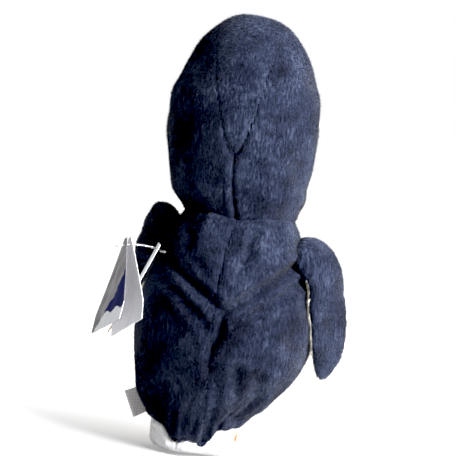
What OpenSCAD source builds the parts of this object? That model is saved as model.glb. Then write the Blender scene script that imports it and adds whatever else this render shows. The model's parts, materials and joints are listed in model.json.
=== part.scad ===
// Plush penguin, sewn from short-pile plush panels over loose stuffing.
// +Z is up, the penguin faces -Y and its left side is +X. The origin is the centre of the
// flat face that it stands on. All lengths are millimetres and all angles degrees.

/* [Head] */
// Height of the head's widest level above the ground
head_mid = 176; // [170:1:182]
// Half of the head's width
head_half = 39; // [36:0.5:42]
// Depth from the head's centre to its back
head_back = 36; // [33:0.5:40]
// Depth from the head's centre to its face
head_front = 36; // [33:0.5:40]
// Rise from the widest level to the crown
head_rise = 54.5; // [48:0.5:58]
// Widest half angle of the crown gusset
gusset_angle = 19; // [12:1:24]
// Diameter of a safety eye
eye_d = 9; // [6:0.5:11]
// Length that the beak stands out
beak_len = 21; // [12:1:26]

/* [Body] */
// Height of the body's widest level
body_mid = 60; // [56:1:64]
// Half of the body's width
body_half = 46.5; // [43:0.5:50]
// Depth from the body's centre to its back
body_back = 39; // [35:0.5:43]
// Depth from the body's centre to its belly
body_front = 43; // [39:0.5:46]
// Angle from the back seam round to each side seam
side_seam = 102; // [94:1:110]
// Height of the gathered seam round the base panel
base_seam = 7; // [5:0.5:9]
// How far the base sits to the left of the neck
base_lean = 8; // [0:0.5:9]

/* [Limbs] */
// Half of a flipper's width
flipper_half = 16; // [12:0.5:18]
// Half of a flipper's thickness
flipper_thick = 6.5; // [5.5:0.25:7]
// Half of a foot's width
foot_half = 9.5; // [8:0.5:10]
// Length of a foot
foot_len = 27; // [24:1:32]
// Height of a foot
foot_high = 9; // [8:0.5:10]

/* [Fabric] */
// Thickness of the plush with its pile
plush = 2; // [1.5:0.1:2.5]
// Clear gap between neighbouring pieces
gap = 0.4; // [0.3:0.05:0.6]

/* [Tags] */
// Thickness of a printed card
card = 0.5; // [0.4:0.1:1]
// Diameter of the nylon fastener's strand
strand_d = 0.8; // [0.6:0.1:1.2]
// Width of the folded care label
label_w = 14.5; // [9:0.5:16]

/* [Hidden] */

navy = "#161a2b";
cream = "#efe9d8";
orange = "#e08a2c";
stuffing = "#f6f6f2";

// The head's lower half would close at head_drop, but the neck cuts it. The body is an egg.
head_drop = 73;
body_rise = 80;
body_drop = 64;
egg_power = 1.25;
waist_pinch = 0.07;
waist_height = 101;
waist_spread = 16;
neck_roundness = 0.97;
neck_ease = 60;

// The head turns and nods about neck_pivot, on a wad that reaches into the head and the body.
neck_pivot = 125;
rim_gap = 4;
head_rim = neck_pivot + rim_gap;
body_rim = neck_pivot - rim_gap;
neck_radius = 24.5;
neck_chamfer = 4;
neck_top = neck_pivot + 8;
neck_bottom = neck_pivot - 11;
head_fill_bottom = neck_top + 6.5;
fill_clear = 2 * gap;

// Crown gusset: angles run round the X axis, 0 at the back, 90 at the top, 180 in front.
gusset_from = -29;
gusset_to = 172;
gusset_tip = 1.5;
face_seam = 128;
neck_seam = -102;
seam_angle = 0.6;
ear_pole = 90;
cheek_stop = 88.4;

eye_theta = 160;
eye_phi = 27;
eye_sunk = 0.18;
eye_shank_d = 3;
eye_shank = 9;
shank_room = 1.5;
washer_d = 11;
washer_t = 1.2;
washer_clear = 0.1;

beak_mid = 166;
beak_half = 9;
beak_high = 6.5;
beak_droop = 5;
beak_taper = 1.6;
beak_tip = 0.96;
beak_fill_tip = 0.92;
mouth_angle = 3;
felt = 1.2;

// Points round a ring of the fillings and the base.
steps = 24;
// Larger than the object, for cutting.
beyond = 160;

// ---------------------------------------------------------------- shared shapes

function ramp(low, high, count) = [for (i = [0:count]) low + (high - low) * i / count];

function bump(x, middle, spread) = exp(-pow((x - middle) / spread, 2));

// Faces of a grid of points with "across" columns, between rows i and i + 1.
function grid_faces(rows, across, start, flip) = [
    for (i = [0:rows - 2], j = [0:across - 2])
        let (
            a = start + i * across + j,
            b = a + across,
            quad = [[a, b, b + 1], [a, b + 1, a + 1]]
        )
        each flip ? [for (f = quad) [f[0], f[2], f[1]]] : quad
];

// Faces that join two matching edges, each a list of point numbers.
function wall_faces(one, two) = [
    for (k = [0:len(one) - 2])
        each [[one[k], one[k + 1], two[k + 1]], [one[k], two[k + 1], two[k]]]
];

// Where the last column is a pole, its points are one point.
function merged(face, pole, across, total) = [
    for (p = face) !pole || p % across != across - 1 ? p : p < total ? across - 1 : total + across - 1
];

function whole(faces) = [for (f = faces) if (f[0] != f[1] && f[1] != f[2] && f[2] != f[0]) f];

// A sewn panel: a grid of outer points, the same grid of inner points, and its four edges.
module panel(outer, inner, pole = false) {
    rows = len(outer);
    across = len(outer[0]);
    total = rows * across;
    first = [for (j = [0:across - 1]) j];
    last = [for (j = [0:across - 1]) total - across + j];
    near = [for (i = [0:rows - 1]) i * across];
    far = [for (i = [0:rows - 1]) i * across + across - 1];
    faces = concat(
        grid_faces(rows, across, 0, false),
        grid_faces(rows, across, total, true),
        wall_faces(first, [for (p = first) p + total]),
        wall_faces([for (p = last) p + total], last),
        wall_faces([for (p = near) p + total], near),
        pole ? [] : wall_faces(far, [for (p = far) p + total])
    );
    polyhedron(
        points = concat([for (row = outer) each row], [for (row = inner) each row]),
        faces = whole([for (f = faces) merged(f, pole, across, total)])
    );
}

// A closed solid through rings of points, pointed or flat at both ends.
module loft(rings, low_end, high_end) {
    count = len(rings[0]);
    total = len(rings) * count;
    sides = [
        for (i = [0:len(rings) - 2], j = [0:count - 1])
            let (
                a = i * count + j,
                b = i * count + (j + 1) % count
            )
            each [[a, b, b + count], [a, b + count, a + count]]
    ];
    low = [for (j = [0:count - 1]) [(j + 1) % count, j, total]];
    high = [for (j = [0:count - 1]) [total - count + j, total - count + (j + 1) % count, total + 1]];
    polyhedron(
        points = concat([for (ring = rings) each ring], [low_end, high_end]),
        faces = concat(sides, low, high)
    );
}

// ---------------------------------------------------------------- head

function head_direction(theta, phi) = [sin(phi), cos(phi) * cos(theta), cos(phi) * sin(theta)];

function head_reach(d) = 1 / sqrt(
    pow(d.x / head_half, 2)
    + pow(d.y / (d.y > 0 ? head_back : head_front), 2)
    + pow(d.z / (d.z > 0 ? head_rise : head_drop), 2)
);

function head_point(theta, phi, inset) =
    let (d = head_direction(theta, phi))
    [0, 0, head_mid] + (head_reach(d) - inset) * d;

function head_grid(thetas, low, high, columns, inset) = [
    for (t = thetas) [
        for (k = [0:columns]) head_point(t, low(t) + (high(t) - low(t)) * k / columns, inset)
    ]
];

// Half angle of the gusset: a point behind, widest over the crown, narrow above the beak.
function gusset_half(theta) =
    let (along = (theta - gusset_from) / (gusset_to - gusset_from))
    theta < gusset_from || theta > gusset_to
        ? 0
        : gusset_tip + gusset_angle * pow(sin(180 * pow(along, 0.8)), 0.9);

module above_neck() {
    difference() {
        children();
        translate([-beyond / 2, -beyond / 2, 0])
            cube([beyond, beyond, head_rim]);
    }
}

module head_panel(thetas, low, high, columns, pole) {
    panel(
        head_grid(thetas, low, high, columns, 0),
        head_grid(thetas, low, high, columns, plush),
        pole
    );
}

module crown_gusset() {
    color(navy)
        head_panel(
            ramp(gusset_from, gusset_to, 26),
            function (t) -gusset_half(t),
            function (t) gusset_half(t),
            6,
            false
        );
}

// The inner edge of a side panel or cheek lies just outside the gusset or the middle seam.
inner_edge = function (t) gusset_half(t) + seam_angle;
pole_edge = function (t) ear_pole;
cheek_edge = function (t) cheek_stop;

module head_side() {
    color(navy)
        above_neck()
            head_panel(ramp(neck_seam, face_seam, 25), inner_edge, pole_edge, 8, true);
}

module cheek() {
    color(cream)
        difference() {
            above_neck()
                head_panel(
                    ramp(face_seam + seam_angle, 360 + neck_seam - seam_angle, 15),
                    inner_edge,
                    cheek_edge,
                    8,
                    false
                );
            eye_place()
                cylinder(h = 20, d = eye_shank_d + 2 * gap, center = true);
        }
}

module head_fill() {
    inset = plush + fill_clear;
    levels = ramp(head_fill_bottom, head_mid + head_rise - inset - plush, 14);
    color(stuffing)
        difference() {
            loft(
                [for (z = levels) head_ring(z, inset)],
                [0, 0, head_fill_bottom],
                [0, 0, head_mid + head_rise - inset]
            );
            for (side = [0, 1])
                mirror([side, 0, 0])
                    eye_place()
                        translate([0, 0, -eye_shank - shank_room])
                            cylinder(h = 2 * eye_shank, d = washer_d + 2 * gap);
        }
}

function head_ring(z, inset) =
    let (
        high = z > head_mid ? head_rise : head_drop,
        wide = sqrt(1 - pow((z - head_mid) / (high - inset), 2))
    )
    [
        for (k = [0:steps - 1])
            let (a = -360 * k / steps)
            [
                (head_half - inset) * wide * sin(a),
                ((cos(a) > 0 ? head_back : head_front) - inset) * wide * cos(a),
                z
            ]
    ];

// Stands a child on the left cheek, with its +Z pointing out of the head.
module eye_place() {
    at = head_point(eye_theta, eye_phi, 0);
    translate(at)
        rotate([0, 0, atan2(at.y, at.x)])
            rotate([0, 90, 0])
                children();
}

module eye() {
    color("black")
        eye_place() {
            intersection() {
                translate([0, 0, -eye_d * eye_sunk])
                    sphere(d = eye_d, $fn = 32);
                translate([-eye_d, -eye_d, gap])
                    cube(2 * eye_d);
            }
            translate([0, 0, -eye_shank])
                cylinder(h = eye_shank + 2 * gap, d = eye_shank_d, $fn = 24);
        }
}

module eye_washer() {
    color("white")
        eye_place()
            translate([0, 0, -plush - gap - 2 * washer_t])
                difference() {
                    cylinder(h = washer_t, d = washer_d, $fn = 32);
                    translate([0, 0, -1])
                        cylinder(h = washer_t + 2, d = eye_shank_d + washer_clear, $fn = 24);
                }
}

// ---------------------------------------------------------------- beak

// A point of the beak, "along" from its root to its tip and at an angle round it.
function beak_point(along, a, inset) =
    let (
        taper = sqrt(max(0, 1 - pow(along, beak_taper))),
        out = head_front + gap + inset + along * (beak_len - 2 * inset)
    )
    [
        (beak_half - inset) * taper * cos(a),
        -out,
        beak_mid - beak_droop * pow(along, 2) + (beak_high - inset) * taper * sin(a)
    ];

// Half of the beak, from one corner of the mouth to the other.
module beak_shell(from, to) {
    rows = ramp(0, beak_tip, 8);
    turns = ramp(from + mouth_angle, to - mouth_angle, 10);
    color(orange)
        panel(
            [for (v = rows) [for (a = turns) beak_point(v, a, 0)]],
            [for (v = rows) [for (a = turns) beak_point(v, a, felt)]]
        );
}

module beak_upper() {
    beak_shell(0, 180);
}

module beak_lower() {
    beak_shell(180, 360);
}

module beak_fill() {
    inset = felt + gap;
    root = beak_point(0, 0, inset);
    tip = beak_point(beak_fill_tip, 0, inset);
    color(stuffing)
        loft(
            [for (v = ramp(0, beak_fill_tip, 6)) [for (a = [0:30:330]) beak_point(v, a, inset)]],
            [0, root.y, root.z],
            [0, tip.y, tip.z]
        );
}

// ---------------------------------------------------------------- neck and body

// Stuffing packed through the neck: the head turns and nods on it.
module neck_wad() {
    color(stuffing)
        rotate_extrude($fn = 48)
            polygon([
                [0, neck_bottom],
                [neck_radius - neck_chamfer, neck_bottom],
                [neck_radius, neck_bottom + neck_chamfer],
                [neck_radius, neck_top - neck_chamfer],
                [neck_radius - neck_chamfer, neck_top],
                [0, neck_top]
            ]);
}

function eased(t) = let (u = min(1, max(0, t))) u * u * (3 - 2 * u);

// The body's depth grows towards a nearly round neck.
function body_depth(depth, z) =
    depth + (neck_roundness * body_half - depth) * eased((z - body_mid) / neck_ease);

function body_share(z, inset) =
    z > body_mid
        ? sqrt(1 - pow((z - body_mid) / (body_rise - inset), 2))
        : sqrt(1 - pow((body_mid - z) / (body_drop - inset), egg_power));

// The toy sags to its left, so the lower body leans that way.
function lean(z) = base_lean * eased((body_mid - z) / body_mid);

// A point of the body at an angle from the back seam, positive towards the left.
function body_point(a, z, inset) =
    let (
        wide = body_share(z, inset) * (1 - waist_pinch * bump(z, waist_height, waist_spread)),
        deep = body_depth(cos(a) > 0 ? body_back : body_front, z)
    )
    [lean(z) + (body_half - inset) * wide * sin(a), (deep - inset) * wide * cos(a), z];

// Rows of the body's panels, closer together low down, where it curves most.
low_band = 24;
body_levels = concat(ramp(base_seam + gap, low_band, 4), ramp(low_band + 10, body_rim, 8));

module body_panel(from, to, columns) {
    panel(
        [for (z = body_levels) [for (a = ramp(from, to, columns)) body_point(a, z, 0)]],
        [for (z = body_levels) [for (a = ramp(from, to, columns)) body_point(a, z, plush)]]
    );
}

module back_panel(from, to) {
    color(navy)
        body_panel(from, to, 12);
}

module back_right() {
    back_panel(-seam_angle / 2, seam_angle / 2 - side_seam);
}

// The left back panel, with a slit at the shoulder for the hang tag's fastener.
module back_left() {
    color(navy)
        difference() {
            back_panel(side_seam - seam_angle / 2, seam_angle / 2);
            shoulder_slit();
        }
}

module belly_panel() {
    color(cream)
        body_panel(360 - side_seam - seam_angle / 2, side_seam + seam_angle / 2, 16);
}

function body_ring(z, inset) = [for (k = [0:steps - 1]) body_point(-360 * k / steps, z, inset)];

// A cup: up the inside from its middle, over the rim and down the outside.
module base_panel() {
    rise = [0, 0.25, 0.5, 1];
    rings = concat(
        [for (r = rise) body_ring(plush + (base_seam - plush) * r, plush)],
        [for (k = [len(rise) - 1:-1:0]) body_ring(base_seam * rise[k], 0)]
    );
    color(cream)
        mirror([0, 0, 1])
            loft(
                [for (ring = rings) [for (p = ring) [p.x, p.y, -p.z]]],
                [base_lean, 0, -plush],
                [base_lean, 0, 0]
            );
}

// The inner bag lies on the base, and the stuffing fills the body from there to the neck.
bag_high = 14;
bag_middle = plush + 1.7 + bag_high;
bag_wide = 24.5;
bag_deep = 19.5;
bag_skin = 0.8;
bag_slopes = [75, 55, 35, 15];
bag_seam = 1.5;
fill_bottom = bag_middle + bag_high + 3 * gap;
fill_top = neck_bottom - gap;

module body_fill() {
    inset = plush + fill_clear;
    color(stuffing)
        loft(
            [for (z = ramp(fill_bottom, fill_top, 8)) body_ring(z, inset)],
            [lean(fill_bottom), 0, fill_bottom],
            [lean(fill_top), 0, fill_top]
        );
}

function bag_ring(t, inset) = [
    for (k = [0:steps - 1])
        let (
            a = -360 * k / steps,
            wide = cos(t),
            z = bag_middle + (bag_high - inset) * sin(t)
        )
        [lean(z) + (bag_wide - inset) * wide * sin(a), (bag_deep - inset) * wide * cos(a), z]
];

function bag_pole(side, inset) =
    let (z = bag_middle + side * (bag_high - inset))
    [lean(z), 0, z];

// One half of the inner bag, open at its middle seam: the upper (side 1) or the lower (side -1).
module bag_half(side) {
    slopes = side * concat(bag_slopes, bag_seam);
    inside = [for (t = slopes) bag_ring(t, bag_skin)];
    outside = [for (t = slopes) bag_ring(t, 0)];
    from = side > 0 ? inside : outside;
    to = side > 0 ? outside : inside;
    loft(
        concat(from, [for (k = [len(to) - 1:-1:0]) to[k]]),
        bag_pole(side, side > 0 ? bag_skin : 0),
        bag_pole(side, side > 0 ? 0 : bag_skin)
    );
}

module pellet_bag() {
    color("lightgrey") {
        bag_half(1);
        bag_half(-1);
    }
}

module pellets() {
    color("silver")
        loft(
            [for (t = ramp(-bag_slopes[0], bag_slopes[0], 8)) bag_ring(t, bag_skin + gap)],
            bag_pole(-1, bag_skin + gap),
            bag_pole(1, bag_skin + gap)
        );
}

// ---------------------------------------------------------------- flippers

// Each flipper follows a curve with three control points, given with its width direction.
left_curve = [[42, -4, 112], [47, -22, 122], [50, -56, 66]];
left_width = [-0.2, -0.15, 0.97];
right_curve = [[-42, 2, 113.5], [-63, 0, 92], [-59, -2, 43]];
right_width = [0.6, 0.8, 0];
flipper_seam = 2.5;
flipper_root = 0.12;
flipper_tip = 0.28;
flipper_belly = 0.16;
flipper_thin = 0.45;

function unit(v) = v / norm(v);

function middle_of(points, k = 0) =
    k < len(points) ? points[k] / len(points) + middle_of(points, k + 1) : [0, 0, 0];

function curve_at(c, t) = (1 - t) * (1 - t) * c[0] + 2 * t * (1 - t) * c[1] + t * t * c[2];

function slope_at(c, t) = unit((1 - t) * (c[1] - c[0]) + t * (c[2] - c[1]));

// Share of the full size at a place along the flipper, rounded at both ends.
function flipper_share(t) =
    let (
        root = t < flipper_root ? sqrt(1 - pow(1 - t / flipper_root, 2)) : 1,
        tip = 1 - t < flipper_tip ? sqrt(1 - pow(1 - (1 - t) / flipper_tip, 2)) : 1
    )
    root * tip;

function flipper_point(curve, width, t, a, inset) =
    let (
        length = norm(curve[2] - curve[0]),
        s = inset / length + t * (1 - 2 * inset / length),
        along = slope_at(curve, s),
        across = unit(width - (width * along) * along),
        out = cross(along, across),
        swell = 1 - flipper_belly + flipper_belly * sin(180 * t),
        half = (flipper_half - inset) * flipper_share(t) * swell,
        thick = (flipper_thick - inset) * flipper_share(t) * (1 - flipper_thin * t)
    )
    curve_at(curve, s) + half * sin(a) * across + thick * cos(a) * out;

flipper_stations = [0.004, 0.03, 0.08, 0.16, 0.28, 0.4, 0.52, 0.64, 0.76, 0.86, 0.94, 0.99];

module flipper_panel(curve, width, middle) {
    half = 90 - flipper_seam;
    turns = ramp(middle - half, middle + half, 9);
    panel(
        [for (t = flipper_stations) [for (a = turns) flipper_point(curve, width, t, a, 0)]],
        [for (t = flipper_stations) [for (a = turns) flipper_point(curve, width, t, a, plush)]]
    );
}

module flipper_fill(curve, width) {
    inset = plush + 1.5 * gap;
    rings = [
        for (t = flipper_stations) [for (a = [0:24:336]) flipper_point(curve, width, t, a, inset)]
    ];
    color(stuffing)
        loft(rings, middle_of(rings[0]), middle_of(rings[len(rings) - 1]));
}

// ---------------------------------------------------------------- feet

foot_side = 10;
foot_heel = 23;
foot_splay = 4;
foot_waist = 0.62;
foot_widest = 0.25;
toe_length = 0.78;
toe_drop = 0.55;
toe_share = 0.05;
sole_t = 2;
upper_low = sole_t + gap;

function foot_half_at(t) =
    foot_half * (t < foot_widest
        ? foot_waist + (1 - foot_waist) * pow(sin(90 * t / foot_widest), 2)
        : sqrt(1 - pow((t - foot_widest) / toe_length, 4)));

function foot_rise_at(t) =
    (1 - toe_drop * t * t) * sqrt(max(toe_share, 1 - pow(abs(2 * t - 1), 6)));

// A point of the foot's upper, "low" being the level of its edge.
function foot_point(t, a, inset, low = upper_low) = [
    (foot_half_at(t) - inset) * cos(a),
    -foot_heel - inset - t * (foot_len - 2 * inset),
    low + (foot_high - low - inset) * foot_rise_at(t) * sin(a)
];

// Stands a child made along -Y under the left (side 1) or right (side -1) of the belly.
module foot_place(side) {
    translate([lean(foot_high / 2) + side * foot_side, -foot_heel, 0])
        rotate([0, 0, side * foot_splay])
            translate([0, foot_heel, 0])
                children();
}

foot_stations = ramp(0.02, 1, 10);

module foot_upper(side) {
    color(orange)
        foot_place(side)
            panel(
                [for (t = foot_stations) [for (a = ramp(0, 180, 10)) foot_point(t, a, 0)]],
                [for (t = foot_stations) [for (a = ramp(0, 180, 10)) foot_point(t, a, plush)]]
            );
}

module foot_sole(side) {
    edge = [for (t = foot_stations) [foot_half_at(t), -foot_heel - t * foot_len]];
    back = [for (k = [len(edge) - 1:-1:0]) [-edge[k].x, edge[k].y]];
    color(orange)
        foot_place(side)
            linear_extrude(sole_t)
                polygon(concat(edge, back));
}

module foot_fill(side) {
    rings = [
        for (t = foot_stations) [
            for (a = ramp(0, 180, 8)) foot_point(t, a, plush + fill_clear, upper_low + gap)
        ]
    ];
    color(stuffing)
        foot_place(side)
            loft(rings, middle_of(rings[0]), middle_of(rings[len(rings) - 1]));
}

// ---------------------------------------------------------------- tags and label

// The fastener's strand is an arc that rises out of the shoulder and levels off at the cards.
strand_root = [31.9, 15.1, 103.6];
strand_out = unit([0.857, 0.515, 0]);
strand_bend = 41;
root_turn = 110;
ticket_turn = 105;
page_turn = 84;
cover_turn = 80;
bead_turn = 75;
bead_d = 2;
bar_d = 1.4;
bar_len = 5;
slit_reach = 4;
page_long = [-0.166, 0.481, -0.86];
page_short = [-0.68, 0.686, 0.4];
cover_long = [0, 0.51, -0.86];
cover_short = [-0.641, 0.808, 0.234];
ticket_long = [0.38, 0.05, -0.92];
ticket_short = [-0.3, 0.93, 0.1];
card_long = 50;
card_half = 14;
card_neck = 4;
card_shoulder = 18;
hole_d = 4.6;
hole_drop = 4;
ticket_half = 5.5;
ticket_above = 3;
ticket_below = 50;

// Lays a flat outline on a card's plane: its -Y runs along "long" and its X along "short".
module laid(origin, long, short) {
    down = unit(long);
    across = unit(short - (short * down) * down);
    up = -down;
    out = cross(across, up);
    multmatrix([
        [across.x, up.x, out.x, origin.x],
        [across.y, up.y, out.y, origin.y],
        [across.z, up.z, out.z, origin.z],
        [0, 0, 0, 1]
    ])
        children();
}

module hang_card() {
    linear_extrude(card)
        difference() {
            polygon([
                [-card_neck, hole_drop],
                [card_neck, hole_drop],
                [card_half, -card_shoulder],
                [card_half, hole_drop - card_long],
                [-card_half, hole_drop - card_long],
                [-card_half, -card_shoulder]
            ]);
            circle(d = hole_d, $fn = 24);
        }
}

module tag_page() {
    color("white")
        laid(strand_point(page_turn), page_long, page_short)
            hang_card();
}

module tag_cover() {
    color("silver")
        laid(strand_point(cover_turn), cover_long, cover_short)
            hang_card();
}

module tag_ticket() {
    color("tan")
        laid(strand_point(ticket_turn), ticket_long, ticket_short)
            linear_extrude(card)
                difference() {
                    translate([-ticket_half, -ticket_below])
                        square([2 * ticket_half, ticket_below + ticket_above]);
                    circle(d = hole_d, $fn = 24);
                }
}

// A place on the strand, from its root at root_turn to its bead at bead_turn.
function strand_point(turn) =
    strand_root
    + strand_bend * (cos(turn) - cos(root_turn)) * strand_out
    + [0, 0, strand_bend * (sin(turn) - sin(root_turn))];

// Stands a child at the middle of the strand's arc, with +X out of the body and +Y up.
module strand_frame() {
    middle = strand_root - strand_bend * (cos(root_turn) * strand_out + [0, 0, sin(root_turn)]);
    laid(middle, [0, 0, -1], strand_out)
        children();
}

module strand_bar(diameter, length) {
    rotate([0, 0, root_turn])
        translate([strand_bend, 0, 0])
            cylinder(h = length, d = diameter, center = true, $fn = 24);
}

// A moulded nylon strand, with a bar under the shoulder's cloth and a bead past the cards.
module tag_fastener() {
    color("white")
        strand_frame() {
            rotate([0, 0, bead_turn])
                rotate_extrude(angle = root_turn - bead_turn, $fn = 96)
                    translate([strand_bend, 0])
                        circle(d = strand_d, $fn = 16);
            strand_bar(bar_d, bar_len);
            rotate([0, 0, bead_turn])
                translate([strand_bend, 0, 0])
                    sphere(d = bead_d, $fn = 24);
        }
}

// The slit in the shoulder that the bar turns in.
module shoulder_slit() {
    strand_frame()
        hull() {
            strand_bar(bar_d + 2 * gap, bar_len + 2 * gap);
            translate([slit_reach, 0, 0])
                strand_bar(bar_d + 2 * gap, bar_len + 2 * gap);
            translate([slit_reach, slit_reach, 0])
                strand_bar(bar_d + 2 * gap, bar_len + 2 * gap);
        }
}

label_height = 22;
label_angle = side_seam;
label_len = 7;
label_turn = [0, 24, 22];
ribbon = 0.4;
ribbon_loop = 1.6;
ribbon_root = 0.1;

// A folded ribbon that stands out of the left side seam.
module care_label() {
    at = body_point(label_angle, label_height, -3 * gap);
    color("white")
        translate(at)
            rotate(label_turn)
                linear_extrude(label_w, center = true)
                    difference() {
                        label_outline(0);
                        label_outline(ribbon);
                        translate([-label_len, -label_len / 2])
                            square(label_len);
                    }
}

module label_outline(inset) {
    hull() {
        translate([-ribbon_root, inset - ribbon_loop / 2])
            square([ribbon_root, ribbon_loop - 2 * inset]);
        translate([label_len - ribbon_loop / 2, 0])
            circle(d = ribbon_loop - 2 * inset, $fn = 24);
    }
}

// ---------------------------------------------------------------- the assembly

module right() {
    mirror([1, 0, 0])
        children();
}

crown_gusset();
head_side();  // head_side_left
right() head_side();  // head_side_right
cheek();  // cheek_left
right() cheek();  // cheek_right
beak_upper();
beak_lower();
beak_fill();
eye();  // eye_left
right() eye();  // eye_right
eye_washer();  // eye_washer_left
right() eye_washer();  // eye_washer_right
head_fill();
neck_wad();
back_left();
back_right();
belly_panel();
base_panel();
body_fill();
pellet_bag();
pellets();
color(navy) flipper_panel(left_curve, left_width, 180);  // flipper_left_outer
color(cream) flipper_panel(left_curve, left_width, 0);  // flipper_left_inner
flipper_fill(left_curve, left_width);  // flipper_left_fill
color(navy) flipper_panel(right_curve, right_width, 180);  // flipper_right_outer
color(cream) flipper_panel(right_curve, right_width, 0);  // flipper_right_inner
flipper_fill(right_curve, right_width);  // flipper_right_fill
foot_upper(1);  // foot_left_upper
foot_sole(1);  // foot_left_sole
foot_fill(1);  // foot_left_fill
foot_upper(-1);  // foot_right_upper
foot_sole(-1);  // foot_right_sole
foot_fill(-1);  // foot_right_fill
tag_fastener();
tag_cover();
tag_page();
tag_ticket();
care_label();
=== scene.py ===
"""Plush penguin: the looks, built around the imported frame. Metres, +Z up, the penguin faces -Y."""

import json
import math

import bpy
import numpy as np
from mathutils import Matrix, Vector
from mathutils.bvhtree import BVHTree


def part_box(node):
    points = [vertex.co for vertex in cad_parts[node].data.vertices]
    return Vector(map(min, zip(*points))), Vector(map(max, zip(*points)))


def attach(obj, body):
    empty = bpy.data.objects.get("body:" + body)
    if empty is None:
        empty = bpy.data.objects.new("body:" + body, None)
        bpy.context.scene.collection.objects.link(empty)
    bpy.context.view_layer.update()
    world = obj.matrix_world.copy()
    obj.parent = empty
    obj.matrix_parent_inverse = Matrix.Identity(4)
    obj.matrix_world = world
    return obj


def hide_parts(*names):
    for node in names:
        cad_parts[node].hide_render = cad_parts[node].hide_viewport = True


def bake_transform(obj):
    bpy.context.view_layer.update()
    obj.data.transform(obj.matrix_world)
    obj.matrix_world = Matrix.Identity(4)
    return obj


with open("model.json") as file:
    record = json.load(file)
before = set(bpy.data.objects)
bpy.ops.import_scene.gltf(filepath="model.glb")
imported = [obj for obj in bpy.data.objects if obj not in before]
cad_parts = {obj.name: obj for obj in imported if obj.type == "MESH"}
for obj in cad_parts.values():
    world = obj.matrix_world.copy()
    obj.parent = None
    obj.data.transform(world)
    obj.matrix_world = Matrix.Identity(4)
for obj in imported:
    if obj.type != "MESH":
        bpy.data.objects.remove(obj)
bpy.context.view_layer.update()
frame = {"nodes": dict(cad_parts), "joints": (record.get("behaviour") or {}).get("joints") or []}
MM = 0.001
rng = np.random.default_rng(7)


# ---------- sizes, read from the frame

def nodes_box(*nodes):
    """The lowest and highest corner over several CAD nodes."""
    boxes = [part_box(n) for n in nodes]
    low = np.min([np.array(b[0]) for b in boxes], axis=0)
    high = np.max([np.array(b[1]) for b in boxes], axis=0)
    return low, high


def joint(name):
    """A joint of the record: its point and its axis."""
    found = next(j for j in frame["joints"] if j["name"] == name)
    return np.array(found["pos_m"]), np.array(found["axis"])


SIDES = ("left", "right")
HEAD_PANELS = ("crown_gusset", "head_side_left", "head_side_right", "cheek_left", "cheek_right")
head_low, head_high = nodes_box(*HEAD_PANELS)
body_low, body_high = nodes_box("back_left", "back_right", "belly_panel", "base_panel")
NECK_Z = joint("neck_turn")[0][2]

HEAD_RIM = head_low[2]
HEAD_HALF = head_high[0]
HEAD_DEPTH = head_high[1]
HEAD_TOP = head_high[2]
HEAD_MID = HEAD_RIM + 0.464 * (HEAD_TOP - HEAD_RIM)
HEAD_RISE = HEAD_TOP - HEAD_MID
HEAD_DROP = 1.34 * HEAD_RISE
BODY_HALF = (body_high[0] - body_low[0]) / 2
BODY_BACK = body_high[1]
BODY_FRONT = -body_low[1]
BODY_TOP = body_high[2]
BODY_MID = 0.496 * BODY_TOP
BODY_RISE = 0.661 * BODY_TOP
BODY_DROP = 0.529 * BODY_TOP
BODY_POWER = 1.25
BASE_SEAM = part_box("base_panel")[1].z
BASE_LEAN = 1.05 * (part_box("base_panel")[0].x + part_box("base_panel")[1].x) / 2
SIDE_SEAM = math.radians(102)
COLLAR = NECK_Z + 0.6 * MM
CLOTH = 1.3 * MM


# ---------- camera, floor and light

VIEW_AZIMUTH = math.radians(186)
VIEW_ELEVATION = math.radians(3)
VIEW_ROLL = math.radians(6.4)
VIEW_DISTANCE = 0.70
VIEW_SPAN = 0.2385


def make_camera():
    """The camera behind the penguin, rolled so that the penguin leans to the right."""
    target = Vector((0.0013, 0, 0.5155 * HEAD_TOP))
    away = Vector((
        math.sin(VIEW_AZIMUTH) * math.cos(VIEW_ELEVATION),
        -math.cos(VIEW_AZIMUTH) * math.cos(VIEW_ELEVATION),
        math.sin(VIEW_ELEVATION),
    ))
    data = bpy.data.cameras.new("camera")
    data.sensor_width = 36
    data.lens = data.sensor_width * VIEW_DISTANCE / VIEW_SPAN
    camera = bpy.data.objects.new("camera", data)
    bpy.context.scene.collection.objects.link(camera)
    camera.location = target + VIEW_DISTANCE * away
    upright = (-away).to_track_quat("-Z", "Y").to_matrix()
    camera.rotation_euler = (upright @ Matrix.Rotation(VIEW_ROLL, 3, "Z")).to_euler()
    bpy.context.scene.camera = camera


def area_light(name, place, size, power, colour):
    """A soft square light that faces the penguin's middle."""
    data = bpy.data.lights.new(name, "AREA")
    data.size = size
    data.energy = power
    data.color = colour
    light = bpy.data.objects.new(name, data)
    bpy.context.scene.collection.objects.link(light)
    light.location = place
    towards = Vector((0, 0, BODY_TOP)) - light.location
    light.rotation_euler = towards.to_track_quat("-Z", "Y").to_euler()


LIGHTS = (
    # Name, place, size, power and colour.
    ("key", (-0.72, 0.55, 0.50), 0.35, 33.0, (0.99, 0.98, 1.0)),
    ("top", (-0.3, -0.1, 1.5), 0.8, 6.0, (1.0, 1.0, 1.0)),
    ("front", (-0.4, -0.9, 0.5), 0.6, 5.0, (1.0, 1.0, 1.0)),
)
# Where the floor's painted glow is dimmest: the floor in front of the penguin's left back.
GLOW_DIM_SPOT = (0.15, 0.45, 0)
DIM_TOWARDS = (0.60, 0.72, -0.32)
FLOOR_HALF = 40.0
FLOOR_DROP = 0.3 * MM
BLACK_LEVEL = (0.026, 0.027, 0.032)


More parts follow.
